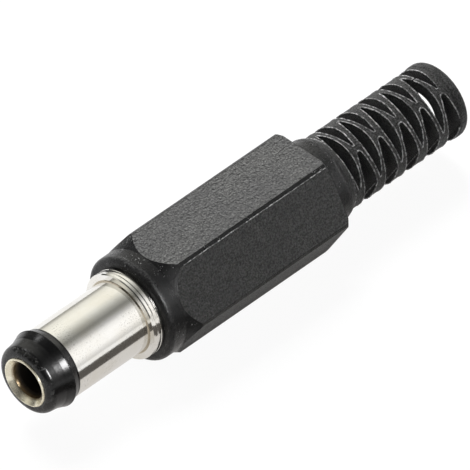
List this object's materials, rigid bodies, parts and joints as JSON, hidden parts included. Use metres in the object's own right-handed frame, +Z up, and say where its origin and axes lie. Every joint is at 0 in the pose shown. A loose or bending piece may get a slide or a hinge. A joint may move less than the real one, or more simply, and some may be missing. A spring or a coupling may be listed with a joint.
{
  "type": "dc barrel plug",
  "caption": "Cable-mount dc power plug: turned metal barrel with a black nose, hexagonal screw-on grip and a slotted cable boot.",
  "frame": {"origin": "on the plug's axis, at the front face of the sleeve's flange, where the barrel begins", "axes": "+X along the barrel towards its tip, the way it goes into a socket; +Z up, square to two of the grip's six flats, one of which it rests on"},
  "size_m": [0.0405, 0.0092, 0.0082],
  "materials": {
    "nickel": "turned and bright nickel plated",
    "nose_plastic": "moulded, glossy",
    "contact_metal": "thin pale gold flash over nickel",
    "tinned_tag": "stamped and tinned",
    "washer_board": "punched laminated board",
    "grip_plastic": "moulded with a fine leathery grain"
  },
  "bodies": {
    "core": {"barrel_sleeve": "nickel", "nose_insulator": "nose_plastic", "centre_contact": "contact_metal", "ground_lug": "tinned_tag", "lug_insulator": "washer_board", "tip_lug": "tinned_tag"},
    "cover": {"grip_cover": "grip_plastic"}
  },
  "joints": [
    {"name": "grip_draw", "type": "slide", "parent": "core", "child": "cover", "axis": [-1, 0, 0], "range_m": [0, 0.02]}
  ]
}
